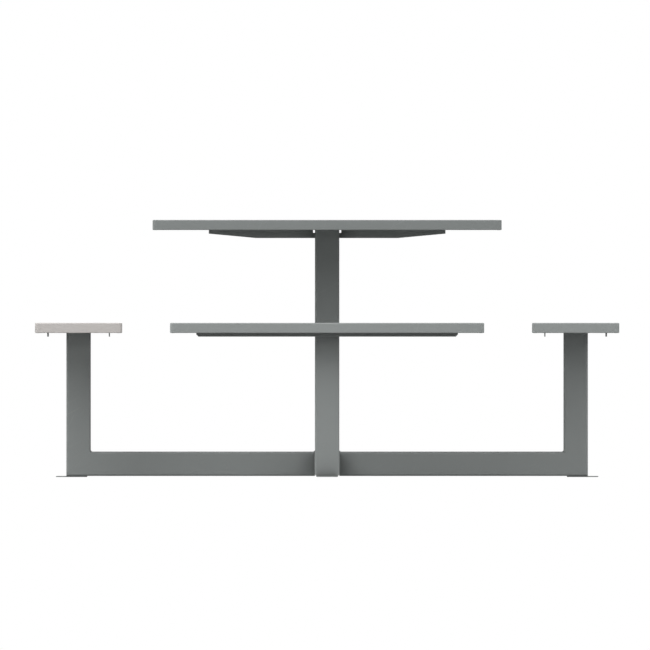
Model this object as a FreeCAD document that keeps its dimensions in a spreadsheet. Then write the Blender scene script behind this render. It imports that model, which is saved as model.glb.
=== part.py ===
import FreeCAD, Part
import Sketcher
import math
import os
from types import SimpleNamespace

# Square canteen table with four benches on a welded cross frame of square tube.
# X runs to the right, Y to the back and Z up; the origin is on the floor under the
# column. Each of the four arms of the frame is drawn along +X and turned about Z.

# ---------------------------------------------------------------- driving sizes, mm

SIZES = {
    # table top
    "table_length": 1000,
    "table_width": 1000,
    "table_height": 736.5,
    # benches
    "bench_length": 900,
    "bench_width": 250,
    "bench_height": 441.5,
    "bench_offset": 712,
    # folded trays of the table top and the seats
    "tray_depth": 29,
    "sheet_thick": 3,
    "lip_width": 14,
    "corner_round": 10,
    "edge_bend": 3,
    # square tube of the frame
    "tube_side": 70,
    "tube_wall": 3,
    "tube_round": 6,
    # foot plates: foot_tuck is the length under the tube, foot_side_step the step in its width
    "foot_thick": 3,
    "foot_tuck": 60,
    "foot_overhang": 30,
    "foot_side_step": 5,
    "foot_round": 5,
    "anchor_hole": 11,
    "anchor_inset": 15,
    # arms under the table top: arm_inset is from the edge of the top to the tip of the arm
    "arm_thick": 5,
    "arm_inset": 161,
    "arm_taper_length": 135.5,
    "arm_root_drop": 23,
    "arm_tip_drop": 10.5,
    "notch_width": 5.3,
    "notch_height": 8,
    # plates and flat bars hidden in the trays
    "plate_thick": 5,
    "table_bar_width": 50,
    "table_bar_end_gap": 50,
    "bench_bar_width": 40,
    "bench_bar_inset": 40,
    # stiffener channels of the table top
    "channel_width": 40,
    "channel_depth": 20,
    "channel_wall": 3,
    "channel_bend": 4,
    "channel_end_gap": 9,
    "channel_offset": 250,
    # ribs under the seats: the insets are from the ends and the long edges of the seat
    "rib_end_inset": 75,
    "rib_side_inset": 35,
    "rib_drop": 10.5,
    "rib_chamfer": 6.5,
    "outer_rib_thick": 5,
    "inner_rib_thick": 3.5,
    # weld studs, washers and nuts; the plays are differences in diameter
    "stud_diameter": 8,
    "stud_show": 2.9,
    "stud_hole_play": 1,
    "nut_wall": 2.5,
    "nut_play": 0.1,
    "nut_thick": 6.5,
    "washer_rim": 4,
    "washer_play": 0.4,
    "washer_thick": 1.6,
    # places of the studs
    "stud_edge": 17,
    "table_stud_from_tube": 13,
    "bench_stud_from_tube": 20,
    "bench_stud_along": 45,
    "bar_stud_middle": 150,
    "bar_stud_inset": 50,
}

CUT_MARGIN = 5      # how far a mitre cut runs past the tube, so that it leaves no skin
LEAST_ROUND = 0.5   # smallest inner bend radius


class Size:
    """A length as a number and as the expression that binds it to the sheet."""

    def __init__(self, value, text=None):
        self.value = value
        self.text = repr(value) if text is None else text

    def combine(self, other, sign, value):
        return Size(value, "(%s %s %s)" % (self.text, sign, as_size(other).text))

    def __add__(self, other):
        return self.combine(other, "+", self.value + as_size(other).value)

    def __sub__(self, other):
        return self.combine(other, "-", self.value - as_size(other).value)

    def __mul__(self, factor):
        return self.combine(factor, "*", self.value * factor)

    def __truediv__(self, divisor):
        return self.combine(divisor, "/", self.value / divisor)

    def __neg__(self):
        return self * -1


def as_size(item):
    return item if isinstance(item, Size) else Size(item)


def larger(first, second):
    """The larger of two lengths."""
    a, b = as_size(first), as_size(second)
    return Size(max(a.value, b.value), "max(%s; %s)" % (a.text, b.text))


# ---------------------------------------------------------------- document and sheet

doc = FreeCAD.newDocument("canteen_table")
sheet = doc.addObject("Spreadsheet::Sheet", "Sizes")
for row, (alias, number) in enumerate(SIZES.items(), start=1):
    sheet.set("A%d" % row, alias)
    sheet.set("B%d" % row, str(number))
    sheet.setAlias("B%d" % row, alias)
doc.recompute()

dim = SimpleNamespace(**{alias: Size(number, "Sizes." + alias) for alias, number in SIZES.items()})

# Levels above the floor and reaches from the column's axis. The skirt is the lower edge of
# a tray, the deck the underside of its top sheet, and the rest the underside of the plates
# that lie against the deck, where the column and the posts end.
beam_top = dim.foot_thick + dim.tube_side
table_skirt = dim.table_height - dim.tray_depth
table_deck = dim.table_height - dim.sheet_thick
table_rest = table_deck - dim.plate_thick
bench_skirt = dim.bench_height - dim.tray_depth
bench_deck = dim.bench_height - dim.sheet_thick
bench_rest = bench_deck - dim.plate_thick
post_outside = dim.bench_offset + dim.tube_side / 2
post_inside = dim.bench_offset - dim.tube_side / 2
half_tube = dim.tube_side / 2
stud_hole = dim.stud_diameter + dim.stud_hole_play

# Arms and cross-bars of the table top
arm_reach = dim.table_length / 2 - dim.arm_inset
table_bar_centre = arm_reach - dim.table_bar_width / 2
table_bar_half = dim.table_width / 2 - dim.table_bar_end_gap
channel_half = arm_reach - dim.table_bar_width - dim.channel_end_gap
column_stud_gauge = half_tube + dim.table_stud_from_tube

# Ribs and bars of a bench
rib_half = dim.bench_length / 2 - dim.rib_end_inset
rib_inside_near = dim.bench_offset - dim.bench_width / 2 + dim.rib_side_inset + dim.inner_rib_thick
rib_inside_far = dim.bench_offset + dim.bench_width / 2 - dim.rib_side_inset - dim.outer_rib_thick
bench_bar_offset = rib_half - dim.bench_bar_inset
bench_stud_across = half_tube + dim.bench_stud_from_tube

# Places of the studs, seen from above
column_studs = [(column_stud_gauge * a, column_stud_gauge * b) for a in (-1, 1) for b in (-1, 1)]
bar_studs = [(table_bar_centre, along * side) for along in (
    dim.bar_stud_middle, table_bar_half - dim.bar_stud_inset) for side in (-1, 1)]
bench_studs = [(dim.bench_offset + bench_stud_across * across, along * side)
               for along in (dim.bench_stud_along, bench_bar_offset)
               for side in (-1, 1) for across in (-1, 1)]

ARMS = {"right": 0, "back": 90, "left": 180, "front": 270}
BAR_ENDS = {"right": ("front", "back"), "back": ("right", "left"),
            "left": ("back", "front"), "front": ("left", "right")}

X, Z = FreeCAD.Vector(1, 0, 0), FreeCAD.Vector(0, 0, 1)

nodes = []


# ---------------------------------------------------------------- drawing helpers

def bind(item, prop, size):
    item.setExpression(prop, as_size(size).text)


def new_body(label, turn=0):
    """An empty body, turned about the column's axis."""
    body = doc.addObject("PartDesign::Body", label)
    body.Label = label
    body.Placement = FreeCAD.Placement(FreeCAD.Vector(), FreeCAD.Rotation(Z, turn))
    nodes.append(body)
    return body


def new_sketch(body, plane, level=0):
    """A sketch parallel to an origin plane of its own body, at a level along its normal."""
    sketch = body.newObject("Sketcher::SketchObject", "sketch")
    role = plane + "_Plane"
    support = next(f for f in body.Origin.OriginFeatures if f.Role == role)
    sketch.AttachmentSupport = [(support, "")]
    sketch.MapMode = "FlatFace"
    bind(sketch, "AttachmentOffset.Base.z", level)
    return sketch


def hold(sketch, index, point, place):
    """Fix a point of the geometry by its two distances from the sketch's origin."""
    for kind, distance in zip(("DistanceX", "DistanceY"), place):
        size = as_size(distance)
        rule = Sketcher.Constraint(kind, -1, 1, index, point, float(size.value))
        bind(sketch, "Constraints[%d]" % sketch.addConstraint(rule), size)


def flat(place):
    return FreeCAD.Vector(as_size(place[0]).value, as_size(place[1]).value, 0)


def outline(sketch, corners):
    """A closed outline of straight lines through the corners."""
    first, count = sketch.GeometryCount, len(corners)
    for i, corner in enumerate(corners):
        following = corners[(i + 1) % count]
        sketch.addGeometry(Part.LineSegment(flat(corner), flat(following)), False)
    for i, corner in enumerate(corners):
        meeting = Sketcher.Constraint("Coincident", first + i, 2, first + (i + 1) % count, 1)
        sketch.addConstraint(meeting)
        hold(sketch, first + i, 1, corner)


def rectangle(sketch, centre, half_u, half_v):
    u, v = as_size(centre[0]), as_size(centre[1])
    outline(sketch, [(u - half_u, v - half_v), (u + half_u, v - half_v),
                     (u + half_u, v + half_v), (u - half_u, v + half_v)])


def circle(sketch, centre, diameter):
    radius = as_size(diameter) / 2
    index = sketch.addGeometry(Part.Circle(flat(centre), Z, radius.value), False)
    rule = Sketcher.Constraint("Radius", index, float(radius.value))
    bind(sketch, "Constraints[%d]" % sketch.addConstraint(rule), radius)
    hold(sketch, index, 3, centre)


def hexagon(sketch, centre, across):
    """A hexagon with the given width across its flats."""
    u, v = as_size(centre[0]), as_size(centre[1])
    corners = []
    for step in range(6):
        angle = math.radians(60 * step)
        corners.append((u + across * (math.cos(angle) / math.sqrt(3)),
                        v + across * (math.sin(angle) / math.sqrt(3))))
    outline(sketch, corners)


def extrude(kind, body, sketch, length, reverse=False, both_ways=False):
    """A Pad or a Pocket of the sketch."""
    feature = body.newObject("PartDesign::" + kind, kind.lower())
    feature.Profile = sketch
    feature.Reversed = reverse
    feature.SideType = "Symmetric" if both_ways else "One side"
    bind(feature, "Length", length)
    doc.recompute()
    return feature


def pad(body, sketch, length, **options):
    return extrude("Pad", body, sketch, length, **options)


def pocket(body, sketch, length, **options):
    before = body.Shape.Volume
    feature = extrude("Pocket", body, sketch, length, **options)
    if body.Shape.Volume > before - 1:
        raise RuntimeError("%s: a pocket cuts nothing" % body.Label)
    return feature


def fillet(body, radius, chosen):
    """Round the edges of the body's last feature that the test chooses."""
    base = body.Tip
    names = ["Edge%d" % i for i, edge in enumerate(base.Shape.Edges, start=1) if chosen(edge)]
    feature = body.newObject("PartDesign::Fillet", "fillet")
    feature.Base = (base, names)
    bind(feature, "Radius", radius)
    doc.recompute()
    return feature


def middle(edge):
    return edge.valueAt((edge.FirstParameter + edge.LastParameter) / 2)


def runs_along(edge, axis):
    """True for a straight edge parallel to the axis."""
    if not isinstance(edge.Curve, Part.Line):
        return False
    return abs(abs(edge.Curve.Direction.dot(axis)) - 1) < 1e-6


def off_axis(edge, axis, centre):
    """The greater of an edge's two offsets across the axis from the centre."""
    gap = middle(edge) - centre
    across = gap - axis * gap.dot(axis)
    return max(abs(across.x), abs(across.y), abs(across.z))


def near(a, b):
    return abs(a - b) < 0.01


# ---------------------------------------------------------------- frame of square tube

def square_tube(body, plane, axis, centre, level, length):
    """A length of tube with rounded edges, along the plane's normal."""
    bore = half_tube - dim.tube_wall
    profile = new_sketch(body, plane, level)
    for half in (half_tube, bore):
        rectangle(profile, centre, half, half)
    pad(body, profile, length)
    if plane == "XY":
        core = FreeCAD.Vector(as_size(centre[0]).value, as_size(centre[1]).value, 0)
    else:
        core = FreeCAD.Vector(0, as_size(centre[0]).value, as_size(centre[1]).value)
    bore_round = larger(dim.tube_round - dim.tube_wall, LEAST_ROUND)
    for half, radius in ((half_tube, dim.tube_round), (bore, bore_round)):
        fillet(body, radius,
               lambda edge: runs_along(edge, axis) and near(off_axis(edge, axis, core), half.value))


def mitre(body, side, keeps_upper):
    """Cut the 45 degree mitre between a floor beam and the post at its end.

    The cut runs from the outer lower corner of the joint to its inner upper corner;
    side is 1 for the end towards +X and -1 for the other one.
    """
    low, high = dim.foot_thick - CUT_MARGIN, beam_top + CUT_MARGIN
    inner, outer = post_inside - CUT_MARGIN, post_outside + CUT_MARGIN
    corner = (inner, low) if keeps_upper else (outer, high)
    cut = new_sketch(body, "XZ")
    outline(cut, [(u * side, v) for u, v in ((outer, low), corner, (inner, high))])
    pocket(body, cut, dim.tube_side + 2 * CUT_MARGIN, both_ways=True)


def make_post(name, turn):
    body = new_body(name + "_post", turn)
    square_tube(body, "XY", Z, (dim.bench_offset, 0), dim.foot_thick, bench_rest - dim.foot_thick)
    mitre(body, 1, keeps_upper=True)


def make_half_beam(name, turn):
    """A floor beam from the side of the long beam to the post."""
    body = new_body("floor_beam_" + name, turn)
    square_tube(body, "YZ", X, (0, dim.foot_thick + half_tube), half_tube, post_outside - half_tube)
    mitre(body, 1, keeps_upper=False)


def make_long_beam():
    """The floor beam that runs from the front post to the back post."""
    body = new_body("floor_beam_long", ARMS["back"])
    square_tube(body, "YZ", X, (0, dim.foot_thick + half_tube), -post_outside, post_outside * 2)
    for side in (1, -1):
        mitre(body, side, keeps_upper=False)


def make_column():
    body = new_body("column")
    square_tube(body, "XY", Z, (0, 0), beam_top, table_rest - beam_top)


def make_foot_plate(name, turn):
    """A plate under the foot of a post, with an anchor hole outside the post."""
    body = new_body(name + "_foot_plate", turn)
    drawing = new_sketch(body, "XY")
    inner, outer = post_outside - dim.foot_tuck, post_outside + dim.foot_overhang
    half = half_tube - dim.foot_side_step
    outline(drawing, [(inner, -half), (outer, -half), (outer, half), (inner, half)])
    circle(drawing, (outer - dim.anchor_inset, 0), dim.anchor_hole)
    pad(body, drawing, dim.foot_thick)
    fillet(body, dim.foot_round, lambda edge: runs_along(edge, Z))


# ---------------------------------------------------------------- table top

def make_tray(label, turn, centre, half_u, half_v, top):
    """A folded sheet tray: deck, skirt and a lip turned in along the skirt's lower edge."""
    body = new_body(label, turn)
    skirt, deck = top - dim.tray_depth, top - dim.sheet_thick

    blank = new_sketch(body, "XY", skirt)
    rectangle(blank, (centre, 0), half_u, half_v)
    pad(body, blank, dim.tray_depth)
    fillet(body, dim.corner_round, lambda edge: runs_along(edge, Z))
    fillet(body, dim.edge_bend, lambda edge: near(middle(edge).z, top.value))

    mouth = new_sketch(body, "XY", deck)
    rectangle(mouth, (centre, 0), half_u - dim.lip_width, half_v - dim.lip_width)
    pocket(body, mouth, dim.tray_depth - dim.sheet_thick)

    hollow = new_sketch(body, "XY", deck)
    rectangle(hollow, (centre, 0), half_u - dim.sheet_thick, half_v - dim.sheet_thick)
    pocket(body, hollow, dim.tray_depth - dim.sheet_thick * 2)

    wall = (half_v - dim.sheet_thick).value
    inside_round = larger(dim.corner_round - dim.sheet_thick, LEAST_ROUND)
    fillet(body, inside_round, lambda edge: runs_along(edge, Z) and near(abs(middle(edge).y), wall))


def make_table_arm(name, turn):
    """An upright plate on the side of the column, deep at its root and tapered to its tip."""
    body = new_body("table_arm_" + name, turn)
    side = new_sketch(body, "XZ")
    notch = half_tube + dim.notch_width
    outline(side, [
        (half_tube, table_skirt - dim.arm_root_drop),
        (arm_reach - dim.arm_taper_length, table_skirt - dim.arm_root_drop),
        (arm_reach, table_skirt - dim.arm_tip_drop),
        (arm_reach, table_rest),
        (notch, table_rest),
        (notch, table_skirt - dim.notch_height),
        (half_tube, table_skirt - dim.notch_height),
    ])
    pad(body, side, dim.arm_thick, both_ways=True)


def make_column_plate():
    body = new_body("column_head_plate")
    drawing = new_sketch(body, "XY", table_rest)
    half = column_stud_gauge + dim.stud_edge
    rectangle(drawing, (0, 0), half, half)
    for place in column_studs:
        circle(drawing, place, stud_hole)
    pad(body, drawing, dim.plate_thick)


def make_table_bar(name, turn):
    """A flat bar across the tip of an arm, under the deck of the table tray."""
    body = new_body("table_crossbar_" + name, turn)
    drawing = new_sketch(body, "XY", table_rest)
    rectangle(drawing, (table_bar_centre, 0), dim.table_bar_width / 2, table_bar_half)
    for place in bar_studs:
        circle(drawing, place, stud_hole)
    pad(body, drawing, dim.plate_thick)


def make_stiffener(name, side):
    """A channel under the deck, open side up, between the two cross-bars."""
    body = new_body("table_stiffener_" + name)
    section = new_sketch(body, "YZ")
    centre, half = dim.channel_offset * side, dim.channel_width / 2
    inner, low = half - dim.channel_wall, table_deck - dim.channel_depth
    floor = low + dim.channel_wall
    outline(section, [
        (centre - half, low), (centre + half, low), (centre + half, table_deck),
        (centre + inner, table_deck), (centre + inner, floor), (centre - inner, floor),
        (centre - inner, table_deck), (centre - half, table_deck),
    ])
    pad(body, section, channel_half * 2, both_ways=True)
    inside_bend = larger(dim.channel_bend - dim.channel_wall, LEAST_ROUND)
    for level, radius in ((low, dim.channel_bend), (floor, inside_bend)):
        fillet(body, radius, lambda edge: runs_along(edge, X) and near(middle(edge).z, level.value))


# ---------------------------------------------------------------- benches

def make_rib(name, turn, kind, near_face, thick):
    """A flat bar on edge, along the seat, with its lower corners cut off."""
    body = new_body("%s_%s_rib" % (name, kind), turn)
    side = new_sketch(body, "YZ", near_face)
    low = bench_skirt - dim.rib_drop
    outline(side, [
        (-rib_half, bench_deck), (-rib_half, low + dim.rib_chamfer),
        (-rib_half + dim.rib_chamfer, low), (rib_half - dim.rib_chamfer, low),
        (rib_half, low + dim.rib_chamfer), (rib_half, bench_deck),
    ])
    pad(body, side, thick)


def between_ribs(body, along, half_along, holes):
    """A plate between the two ribs of a bench, under the deck of the seat."""
    drawing = new_sketch(body, "XY", bench_rest)
    outline(drawing, [
        (rib_inside_near, along - half_along), (rib_inside_far, along - half_along),
        (rib_inside_far, along + half_along), (rib_inside_near, along + half_along),
    ])
    for place in holes:
        circle(drawing, place, stud_hole)
    pad(body, drawing, dim.plate_thick)


def make_bench(name, turn):
    """One seat with the ribs and plates that carry it."""
    make_tray(name + "_seat", turn, dim.bench_offset, dim.bench_width / 2, dim.bench_length / 2,
              dim.bench_height)
    make_rib(name, turn, "inner", rib_inside_near - dim.inner_rib_thick, dim.inner_rib_thick)
    make_rib(name, turn, "outer", rib_inside_far, dim.outer_rib_thick)
    between_ribs(new_body(name + "_head_plate", turn), Size(0),
                 dim.bench_stud_along + dim.stud_edge, bench_studs[:4])
    for side, end, studs in zip((-1, 1), BAR_ENDS[name], (bench_studs[4:6], bench_studs[6:])):
        bar = new_body("%s_crossbar_%s" % (name, end), turn)
        between_ribs(bar, bench_bar_offset * side, dim.bench_bar_width / 2, studs)


# ---------------------------------------------------------------- studs, washers and nuts

def stud(sketch, place):
    circle(sketch, place, dim.stud_diameter)


def washer(sketch, place):
    circle(sketch, place, dim.stud_diameter + dim.washer_rim * 2)
    circle(sketch, place, dim.stud_diameter + dim.washer_play)


def nut(sketch, place):
    hexagon(sketch, place, dim.stud_diameter + dim.nut_wall * 2)
    circle(sketch, place, dim.stud_diameter + dim.nut_play)


def repeat(body, turns):
    """Repeat the body's only feature about the column's axis."""
    pattern = body.newObject("PartDesign::PolarPattern", "pattern")
    pattern.Originals = [body.Tip]
    axis = next(f for f in body.Origin.OriginFeatures if f.Role == "Z_Axis")
    pattern.Axis = (axis, [""])
    pattern.Angle = 360
    pattern.Occurrences = turns
    body.Tip = pattern
    doc.recompute()


def make_fasteners(group, deck, places, turns):
    """Weld studs under a deck, and the washers and nuts that clamp the plates to it."""
    washer_top = deck - dim.plate_thick
    nut_top = washer_top - dim.washer_thick
    stud_end = nut_top - dim.nut_thick - dim.stud_show
    for kind, draw, top, thick in (("studs", stud, deck, deck - stud_end),
                                   ("washers", washer, washer_top, dim.washer_thick),
                                   ("nuts", nut, nut_top, dim.nut_thick)):
        body = new_body("%s_%s" % (group, kind))
        body.AllowCompound = True
        drawing = new_sketch(body, "XY", top)
        for place in places:
            draw(drawing, place)
        pad(body, drawing, thick, reverse=True)
        if turns > 1:
            repeat(body, turns)


# ---------------------------------------------------------------- the whole table

make_long_beam()
make_column()
for arm in ("left", "right"):
    make_half_beam(arm, ARMS[arm])
for arm, angle in ARMS.items():
    make_post(arm, angle)
    make_foot_plate(arm, angle)

make_tray("table_top", 0, Size(0), dim.table_length / 2, dim.table_width / 2, dim.table_height)
make_column_plate()
for arm in ("left", "right"):
    make_table_arm(arm, ARMS[arm])
    make_table_bar(arm, ARMS[arm])
for end, direction in (("front", -1), ("back", 1)):
    make_stiffener(end, direction)

for arm, angle in ARMS.items():
    make_bench(arm, angle)

far_bar_studs = [(-u, v) for u, v in bar_studs]
make_fasteners("table", table_deck, column_studs + bar_studs + far_bar_studs, 1)
make_fasteners("bench", bench_deck, bench_studs, len(ARMS))

doc.recompute()

# ---------------------------------------------------------------- checks and export

for item in doc.Objects:
    if "Invalid" in item.State or "Error" in item.State:
        raise RuntimeError("%s failed: %s" % (item.Label, item.State))
for body in nodes:
    if body.Shape.isNull() or not body.Shape.isValid():
        raise RuntimeError("%s has no valid shape" % body.Label)

os.makedirs("parts", exist_ok=True)
for body in nodes:
    body.Shape.exportStep("parts/%s.step" % body.Label)
    box = body.Shape.BoundBox
    print("%-24s %2d solids %9.1f cm3  z %6.1f to %6.1f" % (
        body.Label, len(body.Shape.Solids), body.Shape.Volume / 1000, box.ZMin, box.ZMax))
print(len(nodes), "nodes")
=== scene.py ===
import math

import bmesh
import bpy
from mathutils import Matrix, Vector, noise
from mathutils.geometry import tessellate_polygon


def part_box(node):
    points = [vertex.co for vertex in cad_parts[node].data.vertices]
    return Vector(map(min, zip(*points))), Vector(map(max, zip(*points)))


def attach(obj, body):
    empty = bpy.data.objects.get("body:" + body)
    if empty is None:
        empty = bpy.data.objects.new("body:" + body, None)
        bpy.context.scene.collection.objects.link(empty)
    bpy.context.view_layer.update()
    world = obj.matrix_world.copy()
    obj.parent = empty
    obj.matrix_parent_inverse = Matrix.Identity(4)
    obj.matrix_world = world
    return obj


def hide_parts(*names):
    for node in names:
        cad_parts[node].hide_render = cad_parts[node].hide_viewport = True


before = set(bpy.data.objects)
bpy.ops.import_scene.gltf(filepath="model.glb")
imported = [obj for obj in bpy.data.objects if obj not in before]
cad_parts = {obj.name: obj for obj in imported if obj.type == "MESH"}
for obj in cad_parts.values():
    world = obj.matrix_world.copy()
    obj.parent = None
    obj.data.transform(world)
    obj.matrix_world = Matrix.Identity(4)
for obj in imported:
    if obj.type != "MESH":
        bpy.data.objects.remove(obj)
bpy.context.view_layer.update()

# Square canteen table with four benches on a welded cross frame of square tube.
# Every coated or plated piece of the frame gets a finished twin here, in the same place
# and of the same size, with rounded sheet bends, broken edges, threads and weld beads.
# The arms of the cross are alike: each is drawn on the right, along +X, and turned about Z.

MM = 0.001

# The sides of the table, with their turn about Z in degrees
SIDES = {"right": 0, "back": 90, "left": 180, "front": 270}

# The two ends of each bench, in the order in which the turn takes those of the right bench there
BAR_ENDS = {"right": ("front", "back"), "back": ("right", "left"),
            "left": ("back", "front"), "front": ("left", "right")}

# ---------------------------------------------------------------- sizes, metres

# Sizes that the boxes of the pieces don't give
TUBE_WALL = 3 * MM
TUBE_ROUND = 6 * MM
SHEET = 3 * MM
LIP = 14 * MM
CORNER_ROUND = 10 * MM
SKIRT_BEND = 3 * MM
LIP_BEND = 2 * MM
INSIDE_BEND = 0.8 * MM
FOOT_ROUND = 5 * MM
ANCHOR_HOLE = 11 * MM
ANCHOR_INSET = 15 * MM
ARM_TAPER = 135.5 * MM
ARM_TIP_RISE = 12.5 * MM
NOTCH_WIDTH = 5.3 * MM
NOTCH_HEIGHT = 8 * MM
RIB_CHAMFER = 6.5 * MM
CHANNEL_WALL = 3 * MM
CHANNEL_BEND = 4 * MM
STUD_HOLE = 9 * MM
STUD_DIAMETER = 8 * MM
NUT_ACROSS = 13 * MM
NUT_BORE = 8.1 * MM
WASHER_DIAMETER = 16 * MM
WASHER_BORE = 8.4 * MM

# Places of the studs
COLUMN_STUD_GAUGE = 48 * MM
TABLE_STUD_MIDDLE = 150 * MM
TABLE_STUD_INSET = 50 * MM
BENCH_STUD_ACROSS = 55 * MM
BENCH_STUD_ALONG = 45 * MM

# Edges, and in degrees the stations round a broken edge and the bend that shades as sharp
BROKEN_EDGE = 0.5 * MM
THIN_BROKEN_EDGE = 0.3 * MM
FOOT_EDGE = 1 * MM
EDGE_STATIONS = (0, 30, 60, 90)
SHARP_BEND = 34

# Threads and nuts: the flat of a nut's end is a share of its width, and its slope is in degrees
THREAD_PITCH = 1.25 * MM
THREAD_DEPTH = 0.65 * MM
ROWS_PER_THREAD = 5
STUD_CHAMFER = 1.3 * THREAD_DEPTH
NUT_FLAT = 0.96
NUT_SLOPE = 30
NUT_MOUTH = 0.6 * MM

# Welds: the legs of the beads, the dressed seams of the lips and the stitches of the channels
SHOWN_WELD = 2.6 * MM
HIDDEN_WELD = 3 * MM
FOOT_WELD = 1.7 * MM
SEAM_WIDTH = 1.6 * MM
SEAM_HEIGHT = 0.35 * MM
SEAM_OUTER_END = 0.45 * CORNER_ROUND
STITCH_LENGTH = 28 * MM
STITCH_SPACING = 133 * MM

# ---------------------------------------------------------------- outlines


def rounded_rectangle(half_u, half_v, radius, steps=8):
    """A closed outline with round corners, anticlockwise about the origin."""
    points = []
    for quarter, (side_u, side_v) in enumerate(((1, 1), (-1, 1), (-1, -1), (1, -1))):
        for step in range(steps + 1):
            angle = math.radians(90 * (quarter + step / steps))
            points.append((side_u * (half_u - radius) + radius * math.cos(angle),
                           side_v * (half_v - radius) + radius * math.sin(angle)))
    return points


def rectangle(u_low, u_high, v_low, v_high):
    return [(u_low, v_low), (u_high, v_low), (u_high, v_high), (u_low, v_high)]


def round_hole(centre_u, centre_v, diameter, steps=32):
    """A round hole's outline, clockwise, so that the metal lies to its left."""
    points = []
    for step in range(steps):
        angle = -2 * math.pi * step / steps
        points.append((centre_u + diameter / 2 * math.cos(angle),
                       centre_v + diameter / 2 * math.sin(angle)))
    return points


def shifted(points, along_u, along_v):
    return [(u + along_u, v + along_v) for u, v in points]


def drawn_in(loop, distance):
    """The loop moved into the metal, which lies to its left, by a distance."""
    moved = []
    for i, (u, v) in enumerate(loop):
        before = Vector(loop[i]) - Vector(loop[i - 1])
        after = Vector(loop[(i + 1) % len(loop)]) - Vector(loop[i])
        first = Vector((before.y, -before.x)).normalized()
        second = Vector((after.y, -after.x)).normalized()
        out = (first + second) / (1 + first.dot(second))
        moved.append((u - out.x * distance, v - out.y * distance))
    return moved


def arc(centre_u, centre_v, radius, start, end, steps):
    """Points on an arc between two angles in degrees."""
    points = []
    for step in range(steps + 1):
        angle = math.radians(start + (end - start) * step / steps)
        points.append((centre_u + radius * math.cos(angle), centre_v + radius * math.sin(angle)))
    return points


# ---------------------------------------------------------------- solids


class Solid:
    """The points and faces of a piece, before its mesh is made."""

    def __init__(self):
        self.points = []
        self.faces = []

    def ring(self, points):
        first = len(self.points)
        self.points.extend(tuple(point) for point in points)
        return list(range(first, len(self.points)))

    def wall(self, a, b):
        """Faces between two closed rings of as many points."""
        for i in range(len(a)):
            j = (i + 1) % len(a)
            self.faces.append((a[i], a[j], b[j], b[i]))

    def lid(self, ring, holes=()):
        """A flat face on a ring, open at its holes."""
        if not holes:
            self.faces.append(tuple(ring))
            return
        loops = [ring, *holes]
        numbers = [i for loop in loops for i in loop]
        outlines = [[Vector(self.points[i]) for i in loop] for loop in loops]
        for corners in tessellate_polygon(outlines):
            self.faces.append(tuple(numbers[i] for i in corners))

    def turned(self, degrees):
        """The same solid turned about the column's axis by quarter turns."""
        quarters = round(degrees / 90) % 4
        cosine, sine = ((1, 0), (0, 1), (-1, 0), (0, -1))[quarters]
        copy = Solid()
        copy.points = [(x * cosine - y * sine, x * sine + y * cosine, z) for x, y, z in self.points]
        copy.faces = list(self.faces)
        return copy

    def add(self, other):
        first = len(self.points)
        self.points.extend(other.points)
        self.faces.extend(tuple(i + first for i in face) for face in other.faces)


# How an outline's u and v and the depth w across it lie in space
FACING = {
    "x": lambda u, v, w: (w, u, v),
    "y": lambda u, v, w: (u, w, v),
    "z": lambda u, v, w: (u, v, w),
}


def plate(loops, low, high, facing, edge=BROKEN_EDGE):
    """A cut plate with its edges broken: an outline and any holes, between two faces."""
    solid = Solid()
    place = FACING[facing]
    levels = []
    for station in EDGE_STATIONS:
        angle = math.radians(station)
        levels.append((low + edge * (1 - math.cos(angle)), edge * (1 - math.sin(angle))))
    levels += [(low + high - level, inset) for level, inset in reversed(levels)]
    stacks = []
    for loop in loops:
        rings = [solid.ring(place(u, v, level) for u, v in drawn_in(loop, inset))
                 for level, inset in levels]
        for a, b in zip(rings, rings[1:]):
            solid.wall(a, b)
        stacks.append(rings)
    for end in (0, -1):
        solid.lid(stacks[0][end], [rings[end] for rings in stacks[1:]])
    return solid


def square_tube(half, place, start, end):
    """A square tube. place puts a point of its section at a distance along it, and start
    and end give the distances at which it is cut, from the point's place in the section."""
    solid = Solid()
    ends = []
    for cut in (start, end):
        rings = []
        for inset in (0, TUBE_WALL):
            section = rounded_rectangle(half - inset, half - inset, TUBE_ROUND - inset)
            rings.append(solid.ring(place(u, v, cut(u, v)) for u, v in section))
        solid.wall(*rings)
        ends.append(rings)
    for a, b in zip(*ends):
        solid.wall(a, b)
    return solid


def folded_tray(low, high):
    """A tray of folded sheet between two corners: deck, skirt and turned-in lip."""
    half_x, half_y = (high.x - low.x) / 2, (high.y - low.y) / 2
    centre_x, centre_y = (high.x + low.x) / 2, (high.y + low.y) / 2
    inside = SHEET + INSIDE_BEND
    lip_end = LIP - BROKEN_EDGE
    section = arc(SKIRT_BEND, high.z - SKIRT_BEND, SKIRT_BEND, 90, 180, steps=5)
    section += arc(LIP_BEND, low.z + LIP_BEND, LIP_BEND, 180, 270, steps=4)
    section += arc(lip_end, low.z + BROKEN_EDGE, BROKEN_EDGE, -90, 0, steps=3)
    section += arc(lip_end, low.z + SHEET - BROKEN_EDGE, BROKEN_EDGE, 0, 90, steps=3)
    section += arc(inside, low.z + inside, INSIDE_BEND, 270, 180, steps=3)
    section += arc(inside, high.z - inside, INSIDE_BEND, 180, 90, steps=3)
    solid = Solid()
    rings = []
    for inset, level in section:
        outline = rounded_rectangle(half_x - inset, half_y - inset,
                                    max(CORNER_ROUND - inset, INSIDE_BEND))
        rings.append(solid.ring((u, v, level) for u, v in shifted(outline, centre_x, centre_y)))
    for a, b in zip(rings, rings[1:]):
        solid.wall(a, b)
    solid.lid(rings[0])
    solid.lid(rings[-1])
    return solid


# ---------------------------------------------------------------- weld beads

# Sections of a bead, as shares of its two legs
FILLET = ((0, 0), (1, 0), (0.87, 0.36), (0.63, 0.63), (0.36, 0.87), (0, 1))
SEAM = ((-1, 0), (-0.8, 0.6), (-0.3, 0.95), (0.3, 0.95), (0.8, 0.6), (1, 0))

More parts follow.
